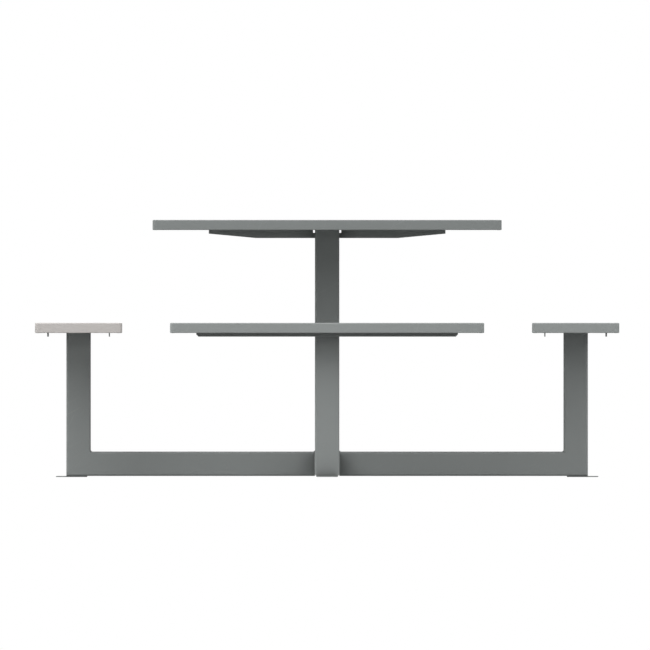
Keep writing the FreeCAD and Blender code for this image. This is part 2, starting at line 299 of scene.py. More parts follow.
# Depths and the tip are shares of a bead's size, and the lag of a ripple's middle is in radians.
# A bead's width wanders as a walk through noise does: WANDER_BY_PLACE takes each bead elsewhere
# in the noise, and WANDER_CIRCLE, about two pi, closes the walk of a closed bead.
RIPPLE_PITCH = 3 * MM
RIPPLE_DEPTH = 0.11
RIPPLE_LAG = 1.8
WANDER_LENGTH = 14 * MM
WANDER_DEPTH = 0.12
WANDER_BY_PLACE = 7
WANDER_CIRCLE = 6
BEAD_START = 3 * MM
BEAD_TIP = 0.3
BEAD_STEP = 0.65 * MM


def walk(track, closed):
    """Stations at even steps along a track of (point, first leg, second leg)."""
    stops = list(track) + ([track[0]] if closed else [])
    stations, travelled = [], 0
    for (a, first_a, second_a), (b, first_b, second_b) in zip(stops, stops[1:]):
        span = (b - a).length
        count = max(1, round(span / BEAD_STEP))
        for step in range(count):
            share = step / count
            stations.append((a.lerp(b, share), first_a.lerp(first_b, share),
                             second_a.lerp(second_b, share), travelled + span * share))
        travelled += span
    if not closed:
        stations.append((*stops[-1], travelled))
    return stations, travelled


def bead(solid, track, section=FILLET, closed=False):
    """A weld bead along a track, with ripples, a wandering width and tapered ends."""
    stations, length = walk(track, closed)
    ripples = max(1, round(length / RIPPLE_PITCH))
    rings = []
    for point, first, second, travelled in stations:
        around = 2 * math.pi * travelled / length
        if closed:
            circle = Vector((math.cos(around), math.sin(around), 0))
            drift = circle * length / WANDER_LENGTH / WANDER_CIRCLE
        else:
            drift = Vector((travelled / WANDER_LENGTH, 0, 0))
        size = 1 + WANDER_DEPTH * noise.noise(drift + point * WANDER_BY_PLACE)
        if not closed:
            to_end = min(travelled, length - travelled)
            size *= min(1, BEAD_TIP + to_end / BEAD_START)
        ring = []
        for i, (a, b) in enumerate(section):
            lag = RIPPLE_LAG * math.sin(math.pi * i / (len(section) - 1))
            ridge = 1 + RIPPLE_DEPTH * math.cos(ripples * around - lag)
            ring.append(point + (first * a + second * b) * size * ridge)
        rings.append(solid.ring(ring))
    for a, b in zip(rings, rings[1:] + ([rings[0]] if closed else [])):
        solid.wall(a, b)
    if not closed:
        solid.lid(rings[0])
        solid.lid(rings[-1])


def straight_bead(solid, start, end, first, second, section=FILLET):
    legs = (Vector(first), Vector(second))
    bead(solid, [(Vector(start), *legs), (Vector(end), *legs)], section)


def bead_round_tube(solid, centre_x, half, level, leg, rise):
    """A fillet all round an upright tube, out along the plate and up or down the tube."""
    track = []
    radius = TUBE_ROUND
    for u, v in rounded_rectangle(half, half, radius, steps=6):
        heart = Vector((math.copysign(half - radius, u), math.copysign(half - radius, v), 0))
        out = (Vector((u, v, 0)) - heart).normalized() * leg
        track.append((Vector((centre_x + u, v, level)), out, Vector((0, 0, leg * rise))))
    bead(solid, track, closed=True)


# ---------------------------------------------------------------- fasteners


def round_ring(solid, centre, level, radius_at, steps, rise_at=lambda radius: 0):
    """A ring about an upright axis, with a radius for each angle and a rise for each radius."""
    points = []
    for step in range(steps):
        angle = 2 * math.pi * step / steps
        radius = radius_at(angle)
        points.append((centre[0] + radius * math.cos(angle),
                       centre[1] + radius * math.sin(angle), level + rise_at(radius)))
    return solid.ring(points)


def closed_turning(solid, centre, section, steps=36):
    """A ring-shaped piece from its section of (radius, level) corners."""
    rings = [round_ring(solid, centre, level, lambda angle: radius, steps)
             for radius, level in section]
    for a, b in zip(rings, rings[1:] + rings[:1]):
        solid.wall(a, b)


def washer(centre, low, high):
    solid = Solid()
    edge = THIN_BROKEN_EDGE
    inner, outer = WASHER_BORE / 2, WASHER_DIAMETER / 2
    closed_turning(solid, centre, [
        (inner, low + edge), (inner + edge, low), (outer - edge, low), (outer, low + edge),
        (outer, high - edge), (outer - edge, high), (inner + edge, high), (inner, high - edge)])
    return solid


def nut(centre, low, high, steps=60):
    """A hexagon nut: its corners are turned down at both ends and its bore is chamfered."""
    solid = Solid()
    half, bore = NUT_ACROSS / 2, NUT_BORE / 2
    flat = half * NUT_FLAT
    slope = math.tan(math.radians(NUT_SLOPE))

    def hexagon(angle):
        sixth = math.pi / 3
        return half / math.cos((angle % sixth) - sixth / 2)

    lines = []
    for level, inward in ((low, 1), (high, -1)):
        face = round_ring(solid, centre, level, lambda angle: flat, steps)
        shoulder = round_ring(solid, centre, level, hexagon, steps,
                              lambda radius: (radius - flat) * slope * inward)
        rim = round_ring(solid, centre, level, lambda angle: bore + NUT_MOUTH, steps)
        throat = round_ring(solid, centre, level + NUT_MOUTH * inward, lambda angle: bore, steps)
        lines.append([shoulder, face, rim, throat])
    below, above = lines
    loop = below + above[::-1]
    for a, b in zip(loop, loop[1:] + loop[:1]):
        solid.wall(a, b)
    return solid


def stud(centre, low, high, shown, steps=24):
    """A weld stud, threaded where it shows past its nut."""
    solid = Solid()
    radius = STUD_DIAMETER / 2
    rows = round(shown / THREAD_PITCH * ROWS_PER_THREAD)
    rings = []
    for row in range(rows + 1):
        rise = shown * row / rows

        def thread(angle):
            turn = (rise / THREAD_PITCH - angle / (2 * math.pi)) % 1
            groove = THREAD_DEPTH * (1 - abs(2 * turn - 1))
            return min(radius - groove, radius - STUD_CHAMFER + rise)

        rings.append(round_ring(solid, centre, low + rise, thread, steps))
    rings.append(round_ring(solid, centre, high, lambda angle: radius - THREAD_DEPTH / 2, steps))
    for a, b in zip(rings, rings[1:]):
        solid.wall(a, b)
    solid.lid(rings[0])
    solid.lid(rings[-1])
    return solid


# ---------------------------------------------------------------- shader groups

# The scale of a grain, patch or cell is how many of them fit in a metre.

# Sockets of the Mix node: its factor, its two numbers, and its two colours with the mixed one
FACTOR = 0
FIRST_NUMBER, SECOND_NUMBER = 2, 3
FIRST_COLOUR, SECOND_COLOUR, MIXED_COLOUR = 6, 7, 2

# Lean and heading in degrees of the planes in which the scratches lie. A plane that leans draws
# its lines on flat and on upright faces.
SCRATCH_PLANES = ((35, 17), (50, 60))

# Where a ramp begins and is full: noise that makes a scratch, noise that makes a worn patch, and
# how squarely a face that keeps its dust looks up
SCRATCH_RAMP = (0.68, 0.74)
WORN_RAMP = (0.4, 0.7)
UPWARD_RAMP = (0.6, 0.98)


def add_node(tree, kind, inputs=(), **settings):
    """A new node with some of its settings, and values or links for its inputs."""
    made = tree.nodes.new(kind)
    for name, value in settings.items():
        setattr(made, name, value)
    for key, value in dict(inputs).items():
        if isinstance(value, bpy.types.NodeSocket):
            tree.links.new(value, made.inputs[key])
        else:
            made.inputs[key].default_value = value
    return made


def math_node(tree, operation, *values, clamp=False):
    inputs = dict(enumerate(values))
    made = add_node(tree, "ShaderNodeMath", inputs, operation=operation, use_clamp=clamp)
    return made.outputs[0]


def ramp(tree, value, begins, full):
    """0 up to where the ramp begins, 1 from where it is full, and even in between."""
    return add_node(tree, "ShaderNodeMapRange",
                    {"Value": value, "From Min": begins, "From Max": full}).outputs[0]


def place_on_piece(tree):
    """The place of a surface point in metres."""
    return tree.nodes.new("ShaderNodeTexCoord").outputs["Object"]


def new_group(name, inputs, outputs):
    """An empty shader group with named sockets, and the sockets inside it."""
    group = bpy.data.node_groups.new(name, "ShaderNodeTree")
    for label, (kind, value) in inputs.items():
        socket = group.interface.new_socket(label, in_out="INPUT", socket_type="NodeSocket" + kind)
        socket.default_value = value
    for label, kind in outputs.items():
        group.interface.new_socket(label, in_out="OUTPUT", socket_type="NodeSocket" + kind)
    given = group.nodes.new("NodeGroupInput").outputs
    result = group.nodes.new("NodeGroupOutput").inputs
    return group, given, result


def place_in(tree, group, inputs=()):
    """The outputs of a shader group, placed in a material with values or links of its own."""
    return add_node(tree, "ShaderNodeGroup", inputs, node_tree=group).outputs


def make_coat_skin():
    """Height of a baked powder coat: a fine grain on a soft orange peel."""
    group, given, result = new_group(
        "coat_skin",
        {"Grain Scale": ("Float", 900.0), "Peel Scale": ("Float", 210.0),
         "Peel Share": ("Float", 0.7)},
        {"Height": "Float"})
    spot = place_on_piece(group)
    grain = add_node(group, "ShaderNodeTexNoise",
                     {"Vector": spot, "Scale": given["Grain Scale"],
                      "Detail": 3.0, "Roughness": 0.6})
    peel = add_node(group, "ShaderNodeTexNoise",
                    {"Vector": spot, "Scale": given["Peel Scale"],
                     "Detail": 1.5, "Roughness": 0.4})
    height = add_node(group, "ShaderNodeMix",
                      {FACTOR: given["Peel Share"],
                       FIRST_NUMBER: grain.outputs[0], SECOND_NUMBER: peel.outputs[0]})
    group.links.new(height.outputs[0], result["Height"])
    return group


def make_colour_drift():
    """A colour that turns slightly lighter and darker, in soft patches and in fine speckles."""
    group, given, result = new_group(
        "colour_drift",
        {"Colour": ("Color", (0.5, 0.5, 0.5, 1)), "Patch Scale": ("Float", 9.0),
         "Patch Amount": ("Float", 0.04), "Speckle Scale": ("Float", 900.0),
         "Speckle Amount": ("Float", 0.16)},
        {"Colour": "Color"})
    spot = place_on_piece(group)
    change = 1.0
    for kind, detail in (("Patch", 4.0), ("Speckle", 2.0)):
        cloud = add_node(group, "ShaderNodeTexNoise",
                         {"Vector": spot, "Scale": given[kind + " Scale"], "Detail": detail})
        centred = math_node(group, "SUBTRACT", cloud.outputs[0], 0.5)
        change = math_node(group, "MULTIPLY_ADD", centred, given[kind + " Amount"], change)
    drifted = add_node(group, "ShaderNodeVectorMath",
                       {0: given["Colour"], "Scale": change}, operation="SCALE")
    group.links.new(drifted.outputs[0], result["Colour"])
    return group


def make_nibs():
    """Sparse round specks, as of dust baked into a coat."""
    group, given, result = new_group(
        "nibs",
        {"Scale": ("Float", 70.0), "Size": ("Float", 0.05), "Share": ("Float", 0.2)},
        {"Mask": "Float"})
    cells = add_node(group, "ShaderNodeTexVoronoi",
                     {"Vector": place_on_piece(group), "Scale": given["Scale"]})
    inside = math_node(group, "LESS_THAN", cells.outputs["Distance"], given["Size"])
    lottery = add_node(group, "ShaderNodeSeparateColor", {0: cells.outputs["Color"]})
    chosen = math_node(group, "LESS_THAN", lottery.outputs[0], given["Share"])
    group.links.new(math_node(group, "MULTIPLY", inside, chosen), result["Mask"])
    return group


def make_hairlines():
    """Short hairline scratches in two directions, thicker in some patches than in others."""
    group, given, result = new_group(
        "hairlines",
        {"Scale": ("Float", 320.0), "Length": ("Float", 32.0), "Patch Scale": ("Float", 7.0),
         "Share": ("Float", 0.3)},
        {"Mask": "Float"})
    spot = place_on_piece(group)
    along = math_node(group, "DIVIDE", given["Scale"], given["Length"])
    stretch = add_node(group, "ShaderNodeCombineXYZ", {0: along, 1: given["Scale"], 2: along})
    mask = 0.0
    for lean, heading in SCRATCH_PLANES:
        turn = (math.radians(lean), 0, math.radians(heading))
        turned = add_node(group, "ShaderNodeVectorRotate", {"Vector": spot, "Rotation": turn},
                          rotation_type="EULER_XYZ")
        drawn_out = add_node(group, "ShaderNodeVectorMath",
                             {0: turned.outputs[0], 1: stretch.outputs[0]}, operation="MULTIPLY")
        streak = add_node(group, "ShaderNodeTexNoise",
                          {"Vector": drawn_out.outputs[0], "Scale": 1.0, "Detail": 1.0})
        line = ramp(group, streak.outputs[0], *SCRATCH_RAMP)
        mask = math_node(group, "MAXIMUM", line, mask)
    patch = add_node(group, "ShaderNodeTexNoise", {"Vector": spot, "Scale": given["Patch Scale"]})
    worn = ramp(group, patch.outputs[0], *WORN_RAMP)
    shown = math_node(group, "MULTIPLY", mask, worn)
    group.links.new(math_node(group, "MULTIPLY", shown, given["Share"]), result["Mask"])
    return group


def make_painted_edge_highlight():
    """Where a surface turns at an edge or a bend: the mask of a painted highlight that lightens the
    coat there.
    """
    group, given, result = new_group(
        "painted_edge_highlight",
        {"Radius": ("Float", 0.0015), "Strength": ("Float", 3.0)},
        {"Mask": "Float"})
    rounded = add_node(group, "ShaderNodeBevel", {"Radius": given["Radius"]}, samples=4).outputs[0]
    plain = group.nodes.new("ShaderNodeNewGeometry").outputs["Normal"]
    same = add_node(group, "ShaderNodeVectorMath", {0: rounded, 1: plain}, operation="DOT_PRODUCT")
    apart = math_node(group, "SUBTRACT", 1.0, same.outputs["Value"])
    mask = math_node(group, "MULTIPLY", apart, given["Strength"], clamp=True)
    group.links.new(mask, result["Mask"])
    return group


def make_corner_shade():
    """Where a surface runs into a corner: the mask of a painted shade, an ambient-occlusion
    darkening of the coat there.
    """
    group, given, result = new_group(
        "corner_shade",
        {"Reach": ("Float", 0.06), "Strength": ("Float", 1.0)},
        {"Mask": "Float"})
    near = add_node(group, "ShaderNodeAmbientOcclusion", {"Distance": given["Reach"]}, samples=8)
    closed_in = math_node(group, "SUBTRACT", 1.0, near.outputs["AO"])
    mask = math_node(group, "MULTIPLY", closed_in, given["Strength"], clamp=True)
    group.links.new(mask, result["Mask"])
    return group


def make_settled_dust():
    """A thin film of dust on what faces up, uneven as wiped surfaces are."""
    group, given, result = new_group(
        "settled_dust",
        {"Patch Scale": ("Float", 6.0), "Amount": ("Float", 0.1)},
        {"Mask": "Float"})
    normal = group.nodes.new("ShaderNodeNewGeometry").outputs["Normal"]
    facing = add_node(group, "ShaderNodeSeparateXYZ", {0: normal})
    upward = ramp(group, facing.outputs["Z"], *UPWARD_RAMP)
    patches = add_node(group, "ShaderNodeTexNoise",
                       {"Vector": place_on_piece(group), "Scale": given["Patch Scale"],
                        "Detail": 6.0, "Roughness": 0.65, "Distortion": 0.6}).outputs[0]
    film = math_node(group, "MULTIPLY", upward, patches)
    group.links.new(math_node(group, "MULTIPLY", film, given["Amount"]), result["Mask"])
    return group


def make_sheen_drift():
    """Roughness that varies with the bake and with handling."""
    group, given, result = new_group(
        "sheen_drift",
        {"Roughness": ("Float", 0.5), "Patch Scale": ("Float", 14.0), "Amount": ("Float", 0.1)},
        {"Roughness": "Float"})
    patch = add_node(group, "ShaderNodeTexNoise",
                     {"Vector": place_on_piece(group), "Scale": given["Patch Scale"],
                      "Detail": 5.0, "Roughness": 0.6}).outputs[0]
    centred = math_node(group, "SUBTRACT", patch, 0.5)
    value = math_node(group, "MULTIPLY_ADD", centred, given["Amount"], given["Roughness"])
    group.links.new(value, result["Roughness"])
    return group


coat_skin = make_coat_skin()
colour_drift = make_colour_drift()
nibs = make_nibs()
hairlines = make_hairlines()
painted_edge_highlight = make_painted_edge_highlight()
corner_shade = make_corner_shade()
settled_dust = make_settled_dust()
sheen_drift = make_sheen_drift()

# ---------------------------------------------------------------- materials


def shade(red, green, blue):
    """A colour as a paint card gives it, 0 to 255, in the shader's linear values."""
    def linear(level):
        part = level / 255
        return part / 12.92 if part <= 0.04045 else ((part + 0.055) / 1.055) ** 2.4
    return linear(red), linear(green), linear(blue), 1


def even_grey(level):
    return level, level, level, 1


FRAME_GREY = shade(141, 145, 144)
TABLE_GREY = shade(122, 126, 125)
SEAT_GREY = shade(144, 148, 147)
SEAT_BEIGE = shade(188, 184, 181)
BRIGHT_ZINC = shade(198, 202, 205)
DUST = shade(178, 174, 166)
# Dark colour of the painted shade in corners and creases
PAINTED_SHADE = shade(30, 31, 30)
WHITE = shade(255, 255, 255)

# How far a coat turns towards another colour where its mask is full
# Painted highlight on edges and bends
EDGE_HIGHLIGHT_SHARE = 0.05
SCRATCH_PALENESS = 0.2
# Painted shade in corners
CORNER_SHADE_SHARE = 0.9
# Painted shade in tight creases
CREASE_SHADE_SHARE = 0.5
DUST_COVER = 1.0

# What dust and scratches add to a coat's roughness, and a nib's height as a share of the grain's
DUST_ROUGHNESS = 0.4
SCRATCH_ROUGHNESS = -0.3
NIB_HEIGHT = 0.8

# How far the painted shade of a crease reaches
CREASE_REACH = 8 * MM
COAT_RELIEF = 0.14 * MM
ZINC_RELIEF = 0.01 * MM
COAT_SHINE = 0.4


def new_material(name):
    material = bpy.data.materials.new(name)
    material.use_nodes = True
    tree = material.node_tree
    tree.nodes.clear()
    shader = tree.nodes.new("ShaderNodeBsdfPrincipled")
    output = tree.nodes.new("ShaderNodeOutputMaterial")
    tree.links.new(shader.outputs[0], output.inputs["Surface"])
    return material, tree, shader.inputs


def towards(tree, colour, other, mask, share):
    """The colour, mixed towards another where the mask is."""
    factor = math_node(tree, "MULTIPLY", mask, share)
    mixed = add_node(tree, "ShaderNodeMix",
                     {FACTOR: factor, FIRST_COLOUR: colour, SECOND_COLOUR: other},
                     data_type="RGBA")
    return mixed.outputs[MIXED_COLOUR]


def emboss(tree, skin, height, relief):
    """Gives a finish the height of its surface, with a relief in metres."""
    bump = add_node(tree, "ShaderNodeBump", {"Strength": 1.0, "Distance": relief, "Height": height})
    tree.links.new(bump.outputs[0], skin["Normal"])


def coated(name, colour, grain_scale, peel_share, roughness, dust, scratches):
    """Powder coat on steel."""
    material, tree, skin = new_material(name)
    paint = place_in(tree, colour_drift, {"Colour": colour})["Colour"]
    specks = place_in(tree, nibs)["Mask"]
    # Painted highlight on edges and bends
    highlight_on_edges = place_in(tree, painted_edge_highlight)["Mask"]
    # Painted shade: darkens the coat where it runs into a corner
    corners = place_in(tree, corner_shade)["Mask"]
    # Painted shade in tight creases, a thin dark line along them
    shade_in_creases = place_in(tree, corner_shade, {"Reach": CREASE_REACH})["Mask"]
    film = place_in(tree, settled_dust, {"Amount": dust})["Mask"]
    lines = place_in(tree, hairlines, {"Share": scratches})["Mask"]
    # Edges lightened towards white with a painted highlight
    paint = towards(tree, paint, WHITE, highlight_on_edges, EDGE_HIGHLIGHT_SHARE)
    paint = towards(tree, paint, WHITE, lines, SCRATCH_PALENESS)
    # Corners darkened with painted shade
    paint = towards(tree, paint, PAINTED_SHADE, corners, CORNER_SHADE_SHARE)
    # Creases darkened with painted shade
    paint = towards(tree, paint, PAINTED_SHADE, shade_in_creases, CREASE_SHADE_SHARE)
    paint = towards(tree, paint, DUST, film, DUST_COVER)
    tree.links.new(paint, skin["Base Color"])
    sheen = place_in(tree, sheen_drift, {"Roughness": roughness})["Roughness"]
    dulled = math_node(tree, "MULTIPLY_ADD", film, DUST_ROUGHNESS, sheen)
    polished = math_node(tree, "MULTIPLY_ADD", lines, SCRATCH_ROUGHNESS, dulled)
    tree.links.new(polished, skin["Roughness"])
    grain = place_in(tree, coat_skin, {"Grain Scale": grain_scale, "Peel Share": peel_share})
    height = math_node(tree, "MULTIPLY_ADD", specks, NIB_HEIGHT, grain["Height"])
    emboss(tree, skin, height, COAT_RELIEF)
    skin["Specular IOR Level"].default_value = COAT_SHINE
    return material


def plated(name, colour):
    """Bright zinc on turned steel."""
    material, tree, skin = new_material(name)
    metal = place_in(tree, colour_drift,
                     {"Colour": colour, "Patch Scale": 160.0, "Patch Amount": 0.25,
                      "Speckle Scale": 1500.0, "Speckle Amount": 0.2})
    tree.links.new(metal["Colour"], skin["Base Color"])
    sheen = place_in(tree, sheen_drift, {"Roughness": 0.36, "Patch Scale": 240.0, "Amount": 0.3})
    tree.links.new(sheen["Roughness"], skin["Roughness"])
    grain = place_in(tree, coat_skin, {"Grain Scale": 3200.0, "Peel Share": 0.15})
    emboss(tree, skin, grain["Height"], ZINC_RELIEF)
    skin["Metallic"].default_value = 1.0
    return material


FRAME_COAT = {"grain_scale": 900.0, "peel_share": 0.65, "roughness": 0.56, "scratches": 0.15}
TRAY_COAT = {"grain_scale": 1100.0, "peel_share": 0.75, "roughness": 0.5, "scratches": 0.25}

FINISHES = {
    "frame_coat_grey": coated("frame_coat_grey", FRAME_GREY, dust=0.10, **FRAME_COAT),
    "table_coat_grey": coated("table_coat_grey", TABLE_GREY, dust=0.12, **TRAY_COAT),
    "seat_coat_grey": coated("seat_coat_grey", SEAT_GREY, dust=0.10, **TRAY_COAT),
    "seat_coat_beige": coated("seat_coat_beige", SEAT_BEIGE, dust=0.10, **TRAY_COAT),
    "zinc_plate": plated("zinc_plate", BRIGHT_ZINC),
}

# ---------------------------------------------------------------- pieces


def make_piece(name, solid, slot, *nodes):
    """The mesh of a solid, with its finish, riding on the part in place of CAD nodes."""
    mesh = bpy.data.meshes.new(name)
    mesh.from_pydata(solid.points, [], solid.faces)
    work = bmesh.new()
    work.from_mesh(mesh)
    bmesh.ops.recalc_face_normals(work, faces=work.faces)
    work.to_mesh(mesh)
    work.free()
    mesh.shade_smooth()
    mesh.set_sharp_from_angle(angle=math.radians(SHARP_BEND))
    mesh.materials.append(FINISHES[slot])
    piece = bpy.data.objects.new(name, mesh)
    bpy.context.scene.collection.objects.link(piece)
    even = piece.modifiers.new("even_shading", "WEIGHTED_NORMAL")
    even.keep_sharp = True
    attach(piece, "root")
    if nodes:
        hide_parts(*nodes)


def finish_node(node, solid, slot="frame_coat_grey"):
    """The finished twin of a CAD node."""
    suffix = "_plated" if slot == "zinc_plate" else "_coated"
    make_piece(node + suffix, solid, slot, node)


def seat_coat(side):
    return "seat_coat_beige" if side == "left" else "seat_coat_grey"


def make_floor_beams():
    """Two half beams with a mitre at their outer ends, and a long one with two mitres."""
    low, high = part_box("floor_beam_right")
    half = (high.z - low.z) / 2
    level = low.z + half

    def mitred(u, v):
        return high.x - (v + half)

    half_beam = square_tube(half, lambda u, v, w: (w, u, level + v), lambda u, v: low.x, mitred)
    for side in ("right", "left"):
        finish_node("floor_beam_" + side, half_beam.turned(SIDES[side]))
    long_beam = square_tube(half, lambda u, v, w: (w, u, level + v),
                            lambda u, v: -mitred(u, v), mitred)
    finish_node("floor_beam_long", long_beam.turned(SIDES["back"]))


def make_column():
    low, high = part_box("column")
    tube = square_tube((high.x - low.x) / 2, lambda u, v, w: (u, v, w),
                       lambda u, v: low.z, lambda u, v: high.z)
    finish_node("column", tube)


def make_posts():
    """The posts, mitred at the foot to the ends of the beams."""
    low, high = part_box("right_post")
    half = (high.x - low.x) / 2
    tube = square_tube(half, lambda u, v, w: (low.x + half + u, v, w),
                       lambda u, v: low.z + (half - u), lambda u, v: high.z)
    for side, angle in SIDES.items():
        finish_node(side + "_post", tube.turned(angle))


def make_foot_plates():
    low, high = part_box("right_foot_plate")
    half_x, half_y = (high.x - low.x) / 2, (high.y - low.y) / 2
    outline = shifted(rounded_rectangle(half_x, half_y, FOOT_ROUND), low.x + half_x, 0)
    hole = round_hole(high.x - ANCHOR_INSET, 0, ANCHOR_HOLE)
    solid = plate([outline, hole], low.z, high.z, "z", FOOT_EDGE)
    for side, angle in SIDES.items():
        finish_node(side + "_foot_plate", solid.turned(angle))


def make_trays():
    finish_node("table_top", folded_tray(*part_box("table_top")), "table_coat_grey")
    seat = folded_tray(*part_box("right_seat"))
    for side, angle in SIDES.items():
        finish_node(side + "_seat", seat.turned(angle), seat_coat(side))


def stud_plate(node, places):
    """A flat bar or plate under a deck, drilled for its studs."""
    low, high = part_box(node)
    holes = [round_hole(u, v, STUD_HOLE) for u, v in places]
    return plate([rectangle(low.x, high.x, low.y, high.y), *holes], low.z, high.z, "z")


def make_table_frame():
    """The arms under the table top with their cross-bars, and the column's head plate."""
    low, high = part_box("table_arm_right")
    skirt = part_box("table_top")[0].z
    outline = [
        (low.x, low.z),
        (high.x - ARM_TAPER, low.z),
        (high.x, low.z + ARM_TIP_RISE),
        (high.x, high.z),
        (low.x + NOTCH_WIDTH, high.z),
        (low.x + NOTCH_WIDTH, skirt - NOTCH_HEIGHT),
        (low.x, skirt - NOTCH_HEIGHT),
    ]
    arm = plate([outline], low.y, high.y, "y")
    bar = stud_plate("table_crossbar_right", table_bar_studs())
    for side in ("right", "left"):
        finish_node("table_arm_" + side, arm.turned(SIDES[side]))
        finish_node("table_crossbar_" + side, bar.turned(SIDES[side]))
    finish_node("column_head_plate", stud_plate("column_head_plate", column_studs()))


def make_stiffeners():
    """The channels in the table top, open to its deck."""
    low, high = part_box("table_stiffener_back")
    centre, half = (low.y + high.y) / 2, (high.y - low.y) / 2
    inner, floor = half - CHANNEL_WALL, low.z + CHANNEL_WALL
    bend, hollow = CHANNEL_BEND, CHANNEL_BEND - CHANNEL_WALL
    section = [(-half, high.z)]
    section += arc(-half + bend, low.z + bend, bend, 180, 270, steps=6)
    section += arc(half - bend, low.z + bend, bend, 270, 360, steps=6)
    section += [(half, high.z), (inner, high.z)]
    section += arc(inner - hollow, floor + hollow, hollow, 0, -90, steps=4)
    section += arc(-inner + hollow, floor + hollow, hollow, 270, 180, steps=4)
    section += [(-inner, high.z)]
    for name, middle in (("back", centre), ("front", -centre)):
        solid = plate([shifted(section, middle, 0)], low.x, high.x, "x", THIN_BROKEN_EDGE)
        finish_node("table_stiffener_" + name, solid, "table_coat_grey")


def make_ribs():
    for kind, edge in (("inner", THIN_BROKEN_EDGE), ("outer", BROKEN_EDGE)):
        low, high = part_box("right_%s_rib" % kind)
        cut = RIB_CHAMFER
        outline = [(low.y + cut, low.z), (high.y - cut, low.z), (high.y, low.z + cut),
                   (high.y, high.z), (low.y, high.z), (low.y, low.z + cut)]
        rib = plate([outline], low.x, high.x, "x", edge)
        for side, angle in SIDES.items():
            finish_node("%s_%s_rib" % (side, kind), rib.turned(angle))


def make_bench_bars():
    head = stud_plate("right_head_plate", head_plate_studs())
    bars = [stud_plate("right_crossbar_" + end, crossbar_studs(end)) for end in BAR_ENDS["right"]]
    for side, angle in SIDES.items():
        finish_node(side + "_head_plate", head.turned(angle))
        for end, bar in zip(BAR_ENDS[side], bars):
            finish_node("%s_crossbar_%s" % (side, end), bar.turned(angle))


# ---------------------------------------------------------------- studs, washers and nuts


def column_studs():
    return [(COLUMN_STUD_GAUGE * a, COLUMN_STUD_GAUGE * b) for a in (-1, 1) for b in (-1, 1)]


def table_bar_studs():
    """Four studs along the cross-bar on the right of the table."""
    low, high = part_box("table_crossbar_right")
    centre = (low.x + high.x) / 2
    return [(centre, along * side) for along in (TABLE_STUD_MIDDLE, high.y - TABLE_STUD_INSET)
            for side in (-1, 1)]


def bench_stud_row(along):
    """Two studs abreast under the bench on the right, at a distance along it."""
    low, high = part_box("right_seat")
    centre = (low.x + high.x) / 2
    return [(centre + BENCH_STUD_ACROSS * across, along) for across in (-1, 1)]


def head_plate_studs():
    return bench_stud_row(-BENCH_STUD_ALONG) + bench_stud_row(BENCH_STUD_ALONG)


def crossbar_studs(end):
    low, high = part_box("right_crossbar_" + end)
    return bench_stud_row((low.y + high.y) / 2)


def make_fasteners(group, places, turns):
    """The studs, washers and nuts at some places, repeated at some turns about the column."""
    levels = {kind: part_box("%s_%s" % (group, kind)) for kind in ("studs", "washers", "nuts")}
    shown = levels["nuts"][0].z - levels["studs"][0].z
    makers = {
        "studs": lambda place, low, high: stud(place, low, high, shown),
        "washers": washer,
        "nuts": nut,
    }
    for kind, make in makers.items():
        low, high = levels[kind]
        one_side = Solid()
        for place in places:
            one_side.add(make(place, low.z, high.z))
        whole = Solid()
        for turn in turns:
            whole.add(one_side.turned(turn))
        finish_node("%s_%s" % (group, kind), whole, "zinc_plate")


# ---------------------------------------------------------------- welds


def add_welds(name, solid, slot="frame_coat_grey"):
    make_piece(name, solid, slot)


def weld_frame():
    """The welds at the column's foot and head, at the half beams' ends, at the arms' roots and
    between the arms and their cross-bars."""
    low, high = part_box("column")
    half = high.x
    beam_low, beam_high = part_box("floor_beam_right")
    solid = Solid()
    bead_round_tube(solid, 0, half, low.z, SHOWN_WELD, rise=1)
    bead_round_tube(solid, 0, half, high.z, HIDDEN_WELD, rise=-1)
    side = Solid()
    for front in (-1, 1):
        straight_bead(side, (half, front * half, beam_low.z + TUBE_ROUND),
                      (half, front * half, beam_high.z - TUBE_ROUND),
                      (SHOWN_WELD, 0, 0), (0, front * SHOWN_WELD, 0))
    arm_low, arm_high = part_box("table_arm_right")
    bar_low, bar_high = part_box("table_crossbar_right")
    root_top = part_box("table_top")[0].z - NOTCH_HEIGHT
    for face in (arm_low.y, arm_high.y):
        out = math.copysign(SHOWN_WELD, face)
        straight_bead(side, (half, face, arm_low.z), (half, face, root_top),
                      (SHOWN_WELD, 0, 0), (0, out, 0))
        straight_bead(side, (bar_low.x + BROKEN_EDGE, face, bar_low.z),
                      (bar_high.x - BROKEN_EDGE, face, bar_low.z),
                      (0, out, 0), (0, 0, -SHOWN_WELD))
    for angle in (SIDES["right"], SIDES["left"]):
        solid.add(side.turned(angle))
    add_welds("column_weld_beads", solid)


